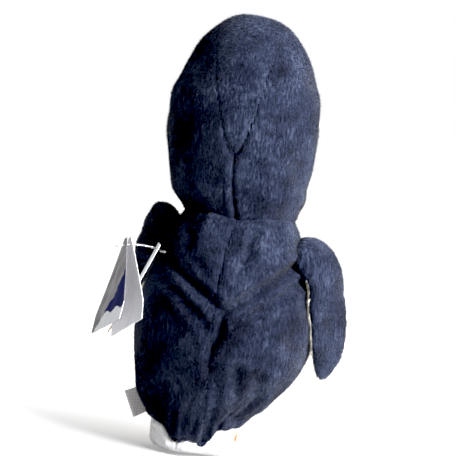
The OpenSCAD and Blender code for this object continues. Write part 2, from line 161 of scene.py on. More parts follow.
def pale_floor(tree):
    """Grey, with a painted glow that makes it white, dimmed where the penguin's left back faces it so that
    less of its light falls on that side.
    """
    ends = {0: coordinates(tree), 1: GLOW_DIM_SPOT}
    away = add_node(tree, "VectorMath", ends, operation="DISTANCE").outputs["Value"]
    return {
        "Base Color": (0.46, 0.46, 0.46, 1),
        "Roughness": 1.0,
        "Specular IOR Level": 0.0,
        "Emission Color": (1, 1, 1, 1),
        "Emission Strength": map_range(tree, away, (0.40, 0.60), (0.12, 0.78), "SMOOTHSTEP"),
    }


def make_floor():
    """A floor that reaches past everything the camera sees."""
    corners = [(x * FLOOR_HALF, y * FLOOR_HALF, 0) for x, y in ((-1, -1), (1, -1), (1, 1), (-1, 1))]
    mesh = mesh_of("floor", corners, [(0, 1, 2, 3)], False)
    floor = object_of("floor", mesh, new_material("floor_pale", pale_floor))
    floor.location.z = -FLOOR_DROP


def make_surround():
    """A white studio, dimmer high up behind the penguin and to its left, with a pale skyline."""
    world = bpy.data.worlds.new("surround")
    world.use_nodes = True
    tree = world.node_tree
    place = coordinates(tree, "Generated")
    facing = add_node(tree, "VectorMath", {0: place, 1: DIM_TOWARDS}, operation="DOT_PRODUCT")
    dim = map_range(tree, facing.outputs["Value"], (-0.35, 0.45), (1.0, 0.10), "SMOOTHSTEP")
    height = add_node(tree, "SeparateXYZ", {"Vector": place}).outputs["Z"]
    skyline = map_range(tree, height, (0.0, 0.22), (0.70, 0.0))
    set_inputs(tree, tree.nodes["Background"], {
        "Color": (1, 1, 1, 1),
        "Strength": math_node(tree, "MAXIMUM", skyline, dim),
    })
    bpy.context.scene.world = world


def make_studio():
    """A pale floor with a painted glow, a pale surround and three soft lights."""
    make_floor()
    make_surround()
    for light in LIGHTS:
        area_light(*light)
    settings = bpy.context.scene.view_settings
    settings.view_transform = "Standard"
    settings.use_curve_mapping = True
    settings.curve_mapping.black_level = BLACK_LEVEL


# ---------- materials

def set_inputs(tree, node, inputs):
    """Sets a node's inputs, by name or number: each to a value, or linked to another node's output."""
    for name, value in inputs.items():
        if isinstance(value, bpy.types.NodeSocket):
            tree.links.new(value, node.inputs[name])
        else:
            node.inputs[name].default_value = value


def add_node(tree, kind, inputs, **settings):
    """A new shader node."""
    node = tree.nodes.new("ShaderNode" + kind)
    for name, value in settings.items():
        setattr(node, name, value)
    set_inputs(tree, node, inputs)
    return node


def coordinates(tree, kind="Object"):
    """A place on the object in its own metres, or with "Generated" a direction in the surround."""
    return add_node(tree, "TexCoord", {}).outputs[kind]


def math_node(tree, operation, first, second):
    return add_node(tree, "Math", {0: first, 1: second}, operation=operation).outputs["Value"]


def map_range(tree, value, source, target, kind="LINEAR"):
    """A value carried over from one pair of limits to another."""
    limits = zip(("From Min", "From Max", "To Min", "To Max"), (*source, *target))
    inputs = {"Value": value, **dict(limits)}
    return add_node(tree, "MapRange", inputs, interpolation_type=kind).outputs["Result"]


def noise(tree, scale, detail, stretch=(1, 1, 1)):
    """Noise over the object's own coordinates, in metres; scale is its detail per metre."""
    mapping = add_node(tree, "Mapping", {"Vector": coordinates(tree), "Scale": stretch})
    inputs = {"Vector": mapping.outputs["Vector"], "Scale": scale, "Detail": detail}
    return add_node(tree, "TexNoise", inputs).outputs["Fac"]


def colour_ramp(tree, value, stops):
    """Colours between (position, colour) stops."""
    ramp = add_node(tree, "ValToRGB", {"Fac": value})
    elements = ramp.color_ramp.elements
    while len(elements) < len(stops):
        elements.new(0.5)
    for element, (position, colour) in zip(elements, stops):
        element.position = position
        element.color = (*colour, 1)
    return ramp.outputs["Color"]


def bump(tree, height, distance, strength=1.0):
    inputs = {"Height": height, "Distance": distance, "Strength": strength}
    return add_node(tree, "Bump", inputs).outputs["Normal"]


def new_material(name, look, *choices):
    """A material whose Principled inputs come from one of the looks below."""
    material = bpy.data.materials.new(name)
    material.use_nodes = True
    tree = material.node_tree
    set_inputs(tree, tree.nodes["Principled BSDF"], look(tree, *choices))
    return material


def fibre(tree, colour):
    """One tone of single fibres, nearly without gloss."""
    return {
        "Base Color": (*colour, 1),
        "Roughness": 0.7,
        "Sheen Weight": 0.1,
        "Specular IOR Level": 0.1,
    }


def plush(tree, dark, middle, light, tint):
    """Short pile seen from above: lighter patches painted in for the sheen of the brushed nap, over tone
    that differs at random, fine strokes that run down, soft sheen.
    """
    strokes = noise(tree, 900, 3, (1, 1, 0.3))
    # The slow noise paints lighter patches into the colour: painted sheen of the nap.
    mixed = math_node(tree, "MULTIPLY", noise(tree, 70, 4), strokes)
    return {
        "Base Color": colour_ramp(tree, mixed, [(0.12, dark), (0.27, middle), (0.45, light)]),
        "Roughness": 0.92,
        "Sheen Weight": 0.2,
        "Sheen Roughness": 0.5,
        "Sheen Tint": (*tint, 1),
        "Specular IOR Level": 0.15,
        "Normal": bump(tree, strokes, 0.5 * MM),
    }


def felt(tree, colour, light):
    """Felt or loose stuffing: a fine, even fuzz."""
    fuzz = noise(tree, 1400, 5)
    return {
        "Base Color": colour_ramp(tree, fuzz, [(0.35, colour), (0.7, light)]),
        "Roughness": 0.9,
        "Sheen Weight": 0.3,
        "Normal": bump(tree, fuzz, 0.25 * MM),
    }


def weave(tree, colour, light, pitch):
    """A plain weave or satin ribbon, with threads "pitch" apart."""
    threads = {"Vector": coordinates(tree), "Scale": 1 / (pitch * 20), "Distortion": 0.6}
    waves = [add_node(tree, "TexWave", threads, bands_direction=d).outputs["Fac"] for d in ("X", "Z")]
    crossed = math_node(tree, "MULTIPLY", *waves)
    return {
        "Base Color": colour_ramp(tree, crossed, [(0.0, colour), (1.0, light)]),
        "Roughness": 0.6,
        "Normal": bump(tree, crossed, 0.12 * MM),
    }


def card(tree, colour, light, roughness, metallic=0.0):
    """Printed card: faint mottling, and a slightly uneven gloss."""
    mottle = noise(tree, 260, 6, (1, 1, 0.25))
    return {
        "Base Color": colour_ramp(tree, mottle, [(0.35, colour), (0.65, light)]),
        "Roughness": map_range(tree, mottle, (0, 1), (roughness * 0.8, roughness * 1.25)),
        "Metallic": metallic,
        "Normal": bump(tree, mottle, 0.15 * MM, 0.5),
    }


def plastic(tree, colour, roughness, coat=0.0, clear=0.0):
    """Moulded plastic with a faint grain."""
    return {
        "Base Color": (*colour, 1),
        "Roughness": roughness,
        "Coat Weight": coat,
        "Transmission Weight": clear,
        "Normal": bump(tree, noise(tree, 2500, 2), 0.02 * MM, 0.3),
    }


NAVY_TONES = [(0.004, 0.005, 0.011), (0.018, 0.023, 0.045), (0.055, 0.069, 0.113)]
CREAM_TONES = [(0.62, 0.58, 0.50), (0.76, 0.73, 0.65), (0.86, 0.84, 0.78)]
WHITE_TONES = [(0.66, 0.66, 0.67), (0.80, 0.80, 0.81), (0.90, 0.90, 0.90)]
ORANGE_TONES = [(0.42, 0.13, 0.012), (0.62, 0.22, 0.025), (0.78, 0.34, 0.06)]
TONES = {"navy": NAVY_TONES, "cream": CREAM_TONES, "white": WHITE_TONES, "orange": ORANGE_TONES}


def make_materials():
    """Every material by name; a pile has three tones of fibre over its own cloth."""
    made = {
        "navy": new_material("navy_plush", plush, *NAVY_TONES, (0.45, 0.5, 0.7)),
        "cream": new_material("cream_plush", plush, *CREAM_TONES, (1.0, 0.95, 0.85)),
        "white": new_material("white_plush", plush, *WHITE_TONES, (1.0, 1.0, 1.0)),
        "orange": new_material("orange_plush", plush, *ORANGE_TONES, (1.0, 0.7, 0.4)),
        "beak": new_material("orange_felt", felt, (0.60, 0.21, 0.02), (0.78, 0.34, 0.06)),
        "stuffing": new_material("stuffing_fibre", felt, (0.72, 0.72, 0.70), (0.88, 0.88, 0.86)),
        "bag": new_material("bag_cloth", weave, (0.55, 0.55, 0.54), (0.78, 0.78, 0.77), 0.4 * MM),
        "pellet": new_material("pellet_plastic", plastic, (0.7, 0.7, 0.7), 0.4),
        "washer": new_material("washer_plastic", plastic, (0.75, 0.75, 0.73), 0.45),
        "eye": new_material("eye_plastic", plastic, (0.006, 0.006, 0.007), 0.12, 1.0),
        "silver": new_material("silver_card", card, (0.24, 0.23, 0.25), (0.40, 0.39, 0.41), 0.35, 0.6),
        "blue": new_material("blue_card", card, (0.003, 0.008, 0.085), (0.006, 0.014, 0.13), 0.7),
        "page": new_material("white_card", card, (0.78, 0.80, 0.84), (0.90, 0.91, 0.93), 0.6),
        "tan": new_material("tan_card", card, (0.62, 0.44, 0.27), (0.75, 0.58, 0.40), 0.55),
        "ribbon": new_material("label_ribbon", weave, (0.55, 0.53, 0.54), (0.72, 0.70, 0.71), 0.25 * MM),
        "nylon": new_material("nylon", plastic, (0.85, 0.86, 0.88), 0.15, 0.4, 0.8),
    }
    for name, colours in TONES.items():
        made[name + "_fibres"] = [
            new_material(f"{name}_fibre_{k}", fibre, colour) for k, colour in enumerate(colours)
        ]
    return made


materials = make_materials()


# ---------- shapes

def eased(t):
    t = np.clip(t, 0, 1)
    return t * t * (3 - 2 * t)


def bell(x, middle, spread):
    return np.exp(-((x - middle) / spread) ** 2)


def unit(v):
    return v / np.maximum(np.linalg.norm(v, axis=-1, keepdims=True), 1e-12)


class Waves:
    """Smooth random values in space: a sum of waves in random directions, about "size" long."""

    def __init__(self, size, count=14):
        directions = unit(rng.normal(size=(count, 3)))
        lengths = size * rng.uniform(0.6, 1.6, count)
        self.vectors = directions * (2 * math.pi / lengths)[:, None]
        self.phases = rng.uniform(0, 2 * math.pi, count)

    def __call__(self, points):
        angles = points @ self.vectors.T + self.phases
        return np.sin(angles).sum(axis=1) * math.sqrt(2 / len(self.phases))


def ripple(angles, counts):
    """A random wavy profile round a ring, made of the given numbers of waves."""
    phases = rng.uniform(0, 2 * math.pi, len(counts))
    heights = rng.uniform(0.5, 1.0, len(counts))
    waves = [h * np.sin(n * angles + p) for n, p, h in zip(counts, phases, heights)]
    return np.sum(waves, axis=0) / len(counts) ** 0.5


def apart(points, place):
    return np.linalg.norm(points - place, axis=1)


def near_line(points, ends):
    """Distance from flat points to a line through several ends."""
    best = np.full(len(points), np.inf)
    for start, stop in zip(ends[:-1], ends[1:]):
        start = np.array(start)
        along = np.array(stop) - start
        share = np.clip((points - start) @ along / (along @ along), 0, 1)
        best = np.minimum(best, apart(points, start + share[:, None] * along))
    return best


def full_turn(columns):
    return np.linspace(0, 2 * math.pi, columns, endpoint=False)


def ring_grid(rings):
    """One closed surface through rings of points, each ring a matching array, closed at both ends."""
    count = len(rings[0])
    points = np.concatenate([*rings, [rings[0].mean(axis=0)], [rings[-1].mean(axis=0)]])
    faces = []
    for row in range(len(rings) - 1):
        for k in range(count):
            a = row * count + k
            b = row * count + (k + 1) % count
            faces.append((a, b, b + count, a + count))
    last = (len(rings) - 1) * count
    for k in range(count):
        faces.append(((k + 1) % count, k, len(points) - 2))
        faces.append((last + k, last + (k + 1) % count, len(points) - 1))
    return points, faces


def mesh_of(name, points, faces, smooth=True):
    mesh = bpy.data.meshes.new(name)
    mesh.from_pydata(np.asarray(points).tolist(), [], [tuple(int(i) for i in f) for f in faces])
    if smooth:
        mesh.polygons.foreach_set("use_smooth", [True] * len(mesh.polygons))
    mesh.update()
    return mesh


def object_of(name, mesh, *materials):
    made = bpy.data.objects.new(name, mesh)
    bpy.context.scene.collection.objects.link(made)
    for material in materials:
        mesh.materials.append(material)
    return made


def points_of(mesh):
    flat = np.empty(3 * len(mesh.vertices))
    mesh.vertices.foreach_get("co", flat)
    return flat.reshape(-1, 3)


def faces_of(mesh):
    return [tuple(p.vertices) for p in mesh.polygons]


def normals_at(points, faces):
    """A normal for each point, from the faces round it."""
    normals = np.zeros_like(points)
    for sides in (3, 4):
        group = np.array([f for f in faces if len(f) == sides])
        if not len(group):
            continue
        corners = points[group]
        if sides == 3:
            cross = np.cross(corners[:, 1] - corners[:, 0], corners[:, 2] - corners[:, 0])
        else:
            cross = np.cross(corners[:, 2] - corners[:, 0], corners[:, 3] - corners[:, 1])
        for corner in range(sides):
            np.add.at(normals, group[:, corner], cross)
    return unit(normals)


def evaluated(made, *modifiers):
    """The object's mesh with these modifiers applied: (type, settings) pairs. The object goes."""
    for kind, settings in modifiers:
        modifier = made.modifiers.new(kind.lower(), kind)
        for key, value in settings.items():
            setattr(modifier, key, value)
    graph = bpy.context.evaluated_depsgraph_get()
    mesh = bpy.data.meshes.new_from_object(made.evaluated_get(graph))
    bpy.data.objects.remove(made)
    return mesh


def cad_skin(nodes, voxel, smoothing):
    """One smooth closed skin round several CAD nodes, remeshed at an even size."""
    points, faces = [], []
    for name in nodes:
        mesh = frame["nodes"][name].data
        faces += [tuple(i + sum(map(len, points)) for i in p.vertices) for p in mesh.polygons]
        points.append(points_of(mesh))
    made = object_of("skin", mesh_of("skin", np.concatenate(points), faces))
    mesh = evaluated(
        made,
        ("REMESH", {"mode": "VOXEL", "voxel_size": voxel}),
        ("SMOOTH", {"factor": 0.5, "iterations": smoothing}),
    )
    return outer_skin(points_of(mesh), faces_of(mesh))


def outer_skin(points, faces):
    """The largest connected surface, without the bubbles that lie inside it."""
    parent = np.arange(len(points))
    edges = np.array([(f[k], f[(k + 1) % len(f)]) for f in faces for k in range(len(f))])
    for _ in range(200):
        lowest = parent.copy()
        np.minimum.at(lowest, edges[:, 0], parent[edges[:, 1]])
        np.minimum.at(lowest, edges[:, 1], parent[edges[:, 0]])
        lowest = lowest[lowest]
        if (lowest == parent).all():
            break
        parent = lowest
    labels, sizes = np.unique(parent, return_counts=True)
    keep = parent == labels[np.argmax(sizes)]
    number = np.cumsum(keep) - 1
    return points[keep], [tuple(number[i] for i in f) for f in faces if keep[f[0]]]


CLOTH_FRAMES = 20
CLOTH_SETTINGS = {
    "quality": 6,
    "mass": 0.15,
    "tension_stiffness": 20,
    "compression_stiffness": 12,
    "shear_stiffness": 8,
    "bending_stiffness": 0.3,
    "air_damping": 2,
    "use_pressure": True,
    "uniform_pressure_force": 3.0,
    "vertex_group_mass": "pins",
    "pin_stiffness": 2,
    "vertex_group_shrink": "grow",
    "shrink_min": 0.0,
    "shrink_max": -0.12,
}


def cloth_relaxed(points, faces, pins, grow, cap):
    """The surface blown up as cloth held at its seams; "grow" gathers extra cloth into puckers."""
    made = object_of("cloth", mesh_of("cloth", points, faces))
    for name, weights in (("pins", pins), ("grow", grow)):
        group = made.vertex_groups.new(name=name)
        for value in np.unique(np.round(weights, 1)):
            if value > 0:
                chosen = np.flatnonzero(np.round(weights, 1) == value).tolist()
                group.add(chosen, float(value), "REPLACE")
    cloth = made.modifiers.new("cloth", "CLOTH")
    for name, value in CLOTH_SETTINGS.items():
        setattr(cloth.settings, name, value)
    cloth.settings.effector_weights.gravity = 0
    cloth.collision_settings.use_collision = False
    cloth.collision_settings.use_self_collision = False
    scene = bpy.context.scene
    for number in range(1, CLOTH_FRAMES + 1):
        scene.frame_set(number)
    graph = bpy.context.evaluated_depsgraph_get()
    result = made.evaluated_get(graph).data
    moved = points_of(result) - points
    scene.frame_set(1)
    bpy.data.objects.remove(made)
    far = np.linalg.norm(moved, axis=1, keepdims=True)
    return points + moved * np.minimum(1, cap / np.maximum(far, 1e-9))


def shell_of(points, faces, thickness):
    """A closed sheet of cloth: the faces, the same faces inside them, and a rim round every edge."""
    inside = points - thickness * normals_at(points, faces)
    count = len(points)
    edges = {}
    for face in faces:
        for k in range(len(face)):
            edges[(face[k], face[(k + 1) % len(face)])] = True
    rim = [(b, a, a + count, b + count) for a, b in edges if (b, a) not in edges]
    turned = [tuple(i + count for i in reversed(f)) for f in faces]
    return np.concatenate([points, inside]), [*faces, *turned, *rim]


def part_of(points, faces, chosen):
    """The points and faces of one panel of a larger surface."""
    picked = [f for f, use in zip(faces, chosen) if use]
    used = np.unique([i for f in picked for i in f])
    number = {old: new for new, old in enumerate(used.tolist())}
    return points[used], [tuple(number[i] for i in f) for f in picked]


def middles(points, faces):
    return np.array([points[list(f)].mean(axis=0) for f in faces])


def grid_faces(rows, columns):
    """The faces of an open grid of points, row by row."""
    return [
        (r * columns + c, (r + 1) * columns + c, (r + 1) * columns + c + 1, r * columns + c + 1)
        for r in range(rows - 1) for c in range(columns - 1)
    ]


def add_panel(node, points, faces, material, thickness, fill):
    """One panel of a skin as a thick sheet of cloth, in place of its CAD node."""
    cloth = object_of(node + "_cloth", mesh_of(node, *shell_of(points, faces, thickness)), material)
    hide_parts(node)
    return cloth


def stand_in(piece, node, body):
    """The piece takes its CAD node's place and moves with one body."""
    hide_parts(node)
    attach(piece, body)


def add_filling(node, body, points, faces):
    filling = object_of(node + "_stuffing", mesh_of(node, points, faces), materials["stuffing"])
    stand_in(filling, node, body)


def repaint(node, material):
    """A CAD node that keeps its own shape and gets a material."""
    solid = frame["nodes"][node]
    solid.data.materials.clear()
    solid.data.materials.append(materials[material])


# ---------- pile

def spike_mesh(name, roots, tips, sides, width):
    """Thin closed spikes, each a three-sided root and a tip."""
    count = len(roots)
    along = unit(tips - roots)
    across = unit(np.cross(along, sides))
    other = np.cross(along, across)
    corners = [roots + width * (math.cos(a) * across + math.sin(a) * other)
               for a in (0, 2 * math.pi / 3, 4 * math.pi / 3)]
    points = np.stack([*corners, tips], axis=1).reshape(-1, 3)
    pattern = np.array([[0, 1, 3], [1, 2, 3], [2, 0, 3], [0, 2, 1]])
    faces = (4 * np.arange(count)[:, None, None] + pattern).reshape(-1, 3)
    mesh = bpy.data.meshes.new(name)
    mesh.vertices.add(len(points))
    mesh.vertices.foreach_set("co", points.ravel())
    mesh.loops.add(faces.size)
    mesh.loops.foreach_set("vertex_index", faces.ravel().astype(np.int32))
    mesh.polygons.add(len(faces))
    mesh.polygons.foreach_set("loop_start", np.arange(0, faces.size, 3, dtype=np.int32))
    mesh.update(calc_edges=True)
    return mesh


FLOOR_GAP = 1.2 * MM
FLOOR_CLEAR = 0.1 * MM
FIBRE_WIDTH = 0.09 * MM
FIBRE_DEPTH = 0.25 * MM
FIBRES_IN_A_PIECE = 48000
# Lighter patches of fibres, painted in for the sheen of the nap.
nap_sheen_waves = Waves(26 * MM)
fleck_waves = Waves(7 * MM)
nap_waves = [Waves(34 * MM), Waves(34 * MM), Waves(12 * MM)]
PLUSH = {
    # Thickness of the cloth, fill, length of the pile, and fibres for each square millimetre.
    "head": (CLOTH, 0.8, 1.45 * MM, {"navy": 5.0, "cream": 3.6}),
    "body": (CLOTH, 0.8, 1.45 * MM, {"navy": 5.0, "cream": 3.4, "white": 3.4}),
    "flipper": (0.5 * MM, 0.6, 1.45 * MM, {"navy": 5.0, "cream": 3.6}),
    "foot": (0.7 * MM, 0.7, 1.5 * MM, {"orange": 4.0}),
}


def nap_direction(points, normals):
    """Which way the pile lies: down the surface, brushed aside in soft patches."""
    down = np.array([0.0, 0.0, -1.0]) - normals * (-normals[:, 2:3])
    side = np.cross(normals, down)
    swirl = 0.55 * nap_waves[0](points) + 0.35 * nap_waves[2](points)
    return unit(down + swirl[:, None] * side + 1e-4)


def above_floor(points):
    """The points, with those at the floor or below it raised just clear of it."""
    return np.column_stack([points[:, :2], np.maximum(points[:, 2], FLOOR_CLEAR)])


def fibre_roots(points, faces, density):
    """Random places on a surface, so many for each square millimetre, and the smooth normals there."""
    triangles = np.array([(f[0], f[k], f[k + 1]) for f in faces for k in range(1, len(f) - 1)])
    a, b, c = (points[triangles[:, k]] for k in range(3))
    areas = np.linalg.norm(np.cross(b - a, c - a), axis=1) / 2
    count = int(areas.sum() / MM ** 2 * density)
    chosen = rng.choice(len(triangles), count, p=areas / areas.sum())
    u, v = rng.random((2, count, 1))
    flip = u + v > 1
    u, v = np.where(flip, 1 - u, u), np.where(flip, 1 - v, v)
    roots = a[chosen] + u * (b - a)[chosen] + v * (c - a)[chosen]
    corners = normals_at(points, faces)[triangles[chosen]]
    smooth = unit(corners[:, 0] * (1 - u - v) + corners[:, 1] * u + corners[:, 2] * v)
    return roots, smooth


def fibre_tips(roots, smooth, length, trim):
    """Where the fibres end: leaning along the nap, uneven, and cut to trim's share of their length."""
    count = len(roots)
    wander = rng.normal(scale=0.34, size=(count, 3))
    stand = 0.5 * rng.uniform(0.6, 1.6, (count, 1))
    direction = unit(nap_direction(roots, smooth) + stand * smooth + wander)
    reach = length * rng.uniform(0.55, 1.25, (count, 1))
    if trim:
        reach *= trim(roots)[:, None]
    return above_floor(roots + reach * direction)


def grow_pile(name, points, faces, density, length, tones, trim=None):
    """Pieces of pile over a surface, where it is off the floor, in mixed tones with painted patches of nap
    sheen.
    """
    faces = [f for f in faces if points[list(f), 2].mean() > FLOOR_GAP]
    roots, smooth = fibre_roots(points, faces, density)
    tips = fibre_tips(roots, smooth, length, trim)
    roots = above_floor(roots - FIBRE_DEPTH * smooth)
    count = len(roots)
    # Each fibre's tone differs at random, and is lighter in slow patches that paint the sheen of the nap.
    light = 0.5 * nap_sheen_waves(roots) + 0.15 * fleck_waves(roots) + rng.normal(scale=0.9, size=count)
    tone = np.digitize(light, (-0.4, 0.7))
    made = []
    for part, start in enumerate(range(0, count, FIBRES_IN_A_PIECE)):
        block = slice(start, start + FIBRES_IN_A_PIECE)
        piece_name = f"{name}_pile_{part + 1}"
        mesh = spike_mesh(piece_name, roots[block], tips[block], smooth[block], FIBRE_WIDTH)
        piece = object_of(piece_name, mesh, *tones)
        mesh.polygons.foreach_set("material_index", np.repeat(tone[block], 4).astype(np.int32))
        made.append(piece)
    return made


def add_plush(kind, node, points, faces, chosen, colour, trim=None):
    """One panel cut from a skin, with its pile: all its pieces."""
    thickness, fill, length, density = PLUSH[kind]
    part, part_faces = part_of(points, faces, chosen)
    cloth = add_panel(node, part, part_faces, materials[colour], thickness, fill)
    tones = materials[colour + "_fibres"]
    return [cloth, *grow_pile(node, part, part_faces, density[colour], length, tones, trim)]


def add_blended(kind, panels, points, faces):
    """Plush panels, each left where it stands; a panel is its node, its faces and its colour."""
    for node, chosen, colour in panels:
        for piece in add_plush(kind, node, points, faces, chosen, colour):
            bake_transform(piece)


def swayed(points):
    """The whole toy sags a little: the neck and the waist hang towards its right."""
    moved = points.copy()
    z = points[:, 2]
    moved[:, 0] -= 3.0 * MM * bell(z, 95 * MM, 62 * MM) + 2.2 * MM * bell(z, COLLAR, 9 * MM)
    return moved


# ---------- head

GUSSET_FROM = -29.0
GUSSET_TO = 172.0
FACE_SEAM = 128.0
CHIN_SEAM = -102.0


def head_angles(points):
    """Angle round the X axis, 0 at the back and 90 at the crown, and angle out to the side."""
    local = points - [0, 0, HEAD_MID]
    theta = np.degrees(np.arctan2(local[:, 2], local[:, 1]))
    phi = np.degrees(np.arcsin(local[:, 0] / np.linalg.norm(local, axis=1)))
    return theta, phi


def gusset_half(theta):
    """Half angle of the crown gusset: a point behind, widest over the crown."""
    along = np.clip((theta - GUSSET_FROM) / (GUSSET_TO - GUSSET_FROM), 0, 1)
    return np.where((along > 0) & (along < 1), 1.5 + 19 * np.sin(np.pi * along ** 0.8) ** 0.9, 0)


def head_seam_distance(points):
    """Distance to the nearest seam of the head."""
    theta, phi = head_angles(points)
    reach = apart(points, [0, 0, HEAD_MID])
    gusset = np.abs(np.abs(phi) - gusset_half(theta))
    face = np.minimum(np.abs(theta - FACE_SEAM), np.abs(theta - CHIN_SEAM)) * np.cos(np.radians(phi))
    face = np.where(np.abs(phi) < gusset_half(theta), 90, face)
    return np.radians(np.minimum(gusset, face)) * reach


def head_rings():
    """Rings from the rolled lower edge, over the crown, to the top."""
    turn = full_turn(200)
    low = math.asin((HEAD_MID - COLLAR + 0.8 * MM) / HEAD_DROP)
    slopes = np.concatenate([np.linspace(-low, 0, 44), np.linspace(0, 0.497 * math.pi, 62)[1:]])
    rolled = ((0.0, 9 * MM), (0.5, 5 * MM), (0.9, 2 * MM))
    rings = [head_ring(-low + 0.05 * (1 - share), turn, inset) for share, inset in rolled]
    return rings + [head_ring(s, turn, 0.0) for s in slopes]


def head_ring(slope, turn, inset):
    """A level ring of the head; slope is its angle from the widest level."""
    height = HEAD_DROP if slope < 0 else HEAD_RISE
    wide = math.cos(slope)
    return np.stack([
        -(HEAD_HALF - inset) * wide * np.sin(turn),
        (HEAD_DEPTH - inset) * wide * np.cos(turn),
        np.full(len(turn), HEAD_MID + height * math.sin(slope)),
    ], axis=1)


def head_surface():
    """The head's cloth: puffed panels, drawn in along the seams, puckered at the gusset's point."""
    points, faces = ring_grid(head_rings())
    distance = head_seam_distance(points)
    theta, phi = head_angles(points)
    strong = 0.1 + 0.9 * eased((0 - theta) / 30) + 0.5 * eased((theta - 100) / 20)
    held = np.clip(strong + 0.1, 0, 1)
    pins = np.maximum(held * bell(distance, 0, 1.6 * MM), points[:, 2] < COLLAR + 1.5 * MM)
    grow = held * bell(distance, 0, 9 * MM)
    points = cloth_relaxed(points, faces, pins, grow, 3 * MM)
    x, z = points[:, 0], points[:, 2]
    groove = -1.1 * bell(distance, 0, 1.2 * MM) + 0.45 * bell(distance, 3 * MM, 1.8 * MM)
    pucker = 0.12 * np.sin(theta * 0.9 + phi) * bell(distance, 2 * MM, 5 * MM) * bell(theta, -25, 22)
    side = eased(np.abs(x) / (24 * MM))
    jowl = 1.5 * bell(z, 137 * MM, 5 * MM) * side
    brow = 0.9 * bell(z, 188 * MM, 7 * MM) * side * (np.abs(theta) < 95)
    point = np.radians(np.hypot(theta - GUSSET_FROM, phi)) * HEAD_DEPTH
    dimple = -1.6 * bell(point, 0, 4 * MM)
    lumps = 0.35 * Waves(24 * MM)(points)
    slack = -2.4 * bell(z, 205 * MM, 18 * MM) * eased(x / (26 * MM))
    shape = groove * np.minimum(strong, 1.2) + pucker + dimple + lumps + slack + jowl + brow
    return swayed(points + MM * shape[:, None] * normals_at(points, faces)), faces


def make_head():
    """Five panels of one head, each its own piece, with their pile."""
    points, faces = head_surface()
    middle = middles(points, faces)
    middle = 2 * middle - swayed(middle)
    theta, phi = head_angles(middle)
    gusset = (np.abs(phi) < gusset_half(theta)) & (theta > GUSSET_FROM)
    front = ~gusset & ((theta > FACE_SEAM) | (theta < CHIN_SEAM))
    behind = ~gusset & ~front
    left = middle[:, 0] > 0
    make_filling("head_fill", "head", points, faces, 6 * MM)
    panels = (
        ("crown_gusset", gusset, "navy"),
        ("head_side_left", behind & left, "navy"),
        ("head_side_right", behind & ~left, "navy"),
        ("cheek_left", front & left, "cream"),
        ("cheek_right", front & ~left, "cream"),
    )
    add_blended("head", panels, points, faces)


# ---------- body

FOLDS = (
    # Each fold: its line in X and Z across the back, its depth and its width, in millimetres.
    ([(32, 104), (14, 90), (-3, 79)], 2.3, 2.8),
    ([(-40, 108), (-22, 94), (-3, 79)], 3.2, 2.5),
    ([(-40, 98), (-24, 84), (-9, 74)], 2.0, 2.8),
    ([(32, 92), (20, 84), (5, 70)], 1.3, 3.0),
    ([(-3, 79), (-2, 68), (1, 58)], 1.8, 2.2),
    ([(22, 118), (16, 106), (9, 96)], 0.6, 3.0),
    ([(-12, 119), (-10, 108), (-6, 97)], 1.1, 2.6),
    ([(2, 58), (-5, 38), (-2, 16)], 0.8, 2.6),
    ([(-13, 50), (-15, 34), (-9, 14)], 1.4, 3.0),
    ([(-24, 46), (-24, 34), (-18, 22)], 1.5, 3.2),
    ([(-34, 25), (-22, 21), (-15, 24)], 2.2, 2.2),
)
DRAPE = [(26, 112), (-3, 96), (-30, 114)]


TUCKS = (
    # Where the lower body is drawn in: side, amount, level, spread, and how far out it starts.
    (-1, 6 * MM, 17 * MM, 11 * MM, 6 * MM),
    (1, 3.5 * MM, 16 * MM, 10 * MM, 8 * MM),
)


def back_seam_x(z):
    """The centre back seam wanders a little from side to side."""
    return 0.4 * lean(z) + 2.2 * MM * np.sin((z - 40 * MM) / (24 * MM))


def side_seam_angle(z):
    """The side seams lie further back at the widest level."""
    return SIDE_SEAM - math.radians(13) * bell(z, BODY_MID, 22 * MM)


def base_edge(angle):
    """Height of the seam round the base: low behind, higher at both sides."""
    scallop = 0.8 * MM * np.sin(8 * angle + 1) + 0.2 * MM * np.sin(19 * angle)
    rise = 7.5 * MM * eased((np.abs(np.sin(angle)) - 0.35) / 0.6)
    return BASE_SEAM + 1.2 * MM + rise + scallop


def body_seam_distance(points):
    """Distance to the nearest seam of the body."""
    x, y, z = points.T
    angle = body_angle(points)
    centre = np.where(y > 0, np.abs(x - back_seam_x(z)), 1)
    side = np.abs(np.abs(angle) - side_seam_angle(z)) * np.hypot(x - lean(z), y)
    edge = base_edge(angle)
    upright = np.where(z > edge, np.minimum(centre, side), 1)
    return np.minimum(upright, np.abs(z - edge))


def body_share(z):
    """The body's width at a height, as a share of its widest."""
    above = 1 - np.clip((z - BODY_MID) / BODY_RISE, 0, 1) ** 2
    below = 1 - np.clip((BODY_MID - z) / BODY_DROP, 0, 1) ** BODY_POWER
    return np.sqrt(np.where(z > BODY_MID, above, below))


def level_round(z, angle):
    """A ring's height round the body: the ring at BASE_SEAM follows the edge of the base."""
    edge = base_edge(angle)
    if z <= BASE_SEAM:
        return np.interp(z, (0, BASE_SEAM), (0, 1)) * edge
    if z < BODY_MID:
        return edge + (z - BASE_SEAM) / (BODY_MID - BASE_SEAM) * (BODY_MID - edge)
    return np.full(len(angle), z)


